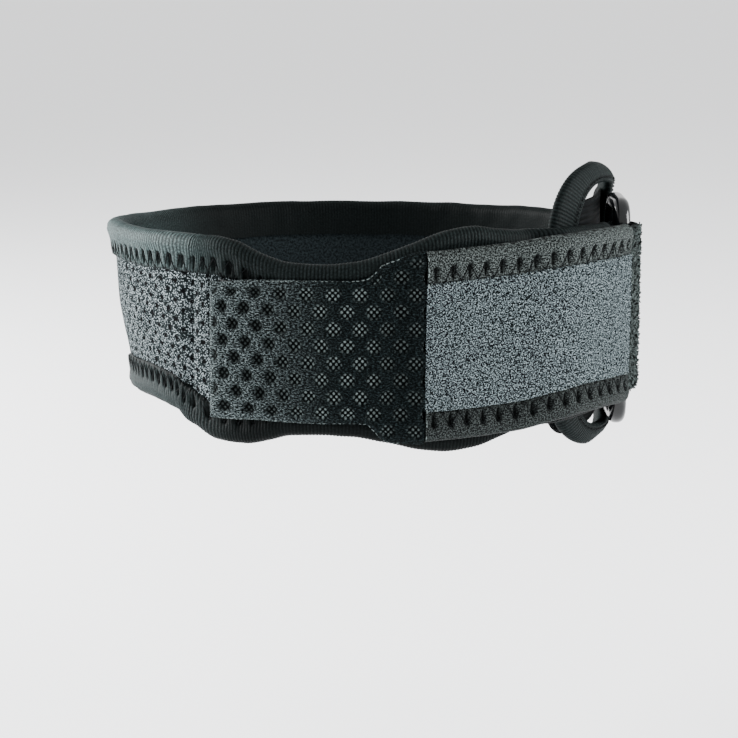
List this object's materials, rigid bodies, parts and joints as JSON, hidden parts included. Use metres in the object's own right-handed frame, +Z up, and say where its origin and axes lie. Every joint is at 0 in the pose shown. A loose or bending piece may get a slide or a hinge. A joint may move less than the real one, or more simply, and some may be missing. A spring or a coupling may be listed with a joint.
{
  "type": "patella strap",
  "caption": "Padded knee strap worn as a closed band: shaped front pad, rear strap with a padded eyelet end, plastic loop, and a pull strap folded back over the front.",
  "frame": {"origin": "centre of the opening that the band goes round, at the strap's mid height", "axes": "+Z up along the opening, -Y towards the middle of the front pad, +X towards the plastic loop"},
  "size_m": [0.1323, 0.1276, 0.0708],
  "materials": {
    "dotted_mesh": "charcoal air mesh with small dark dots",
    "ribbed_tape": "finely ribbed elastic binding",
    "smooth_tape": "close-knit elastic binding",
    "strap_fabric": "dark strap fabric with a short pile at the fold",
    "brushed_loop": "bluish grey brushed loop nap",
    "spacer_mesh": "black spacer mesh with large dimples",
    "hook": "moulded hook tape",
    "webbing": "plain black webbing",
    "loop_plastic": "glossy black moulded plastic"
  },
  "bodies": {
    "root": {"front_pad": "dotted_mesh", "front_pad_top_binding": "ribbed_tape", "front_pad_bottom_binding": "ribbed_tape", "rear_strap": "dotted_mesh", "rear_strap_top_binding": "ribbed_tape", "rear_strap_bottom_binding": "ribbed_tape", "pull_strap": "strap_fabric", "pull_strap_top_binding": "smooth_tape", "pull_strap_bottom_binding": "smooth_tape", "loop_panel": "brushed_loop", "mesh_tongue": "spacer_mesh", "hook_patch": "hook", "end_ring": "ribbed_tape", "guard_flap": "webbing", "buckle_loop": "loop_plastic", "anchor_strip": "webbing"}
  },
  "joints": []
}
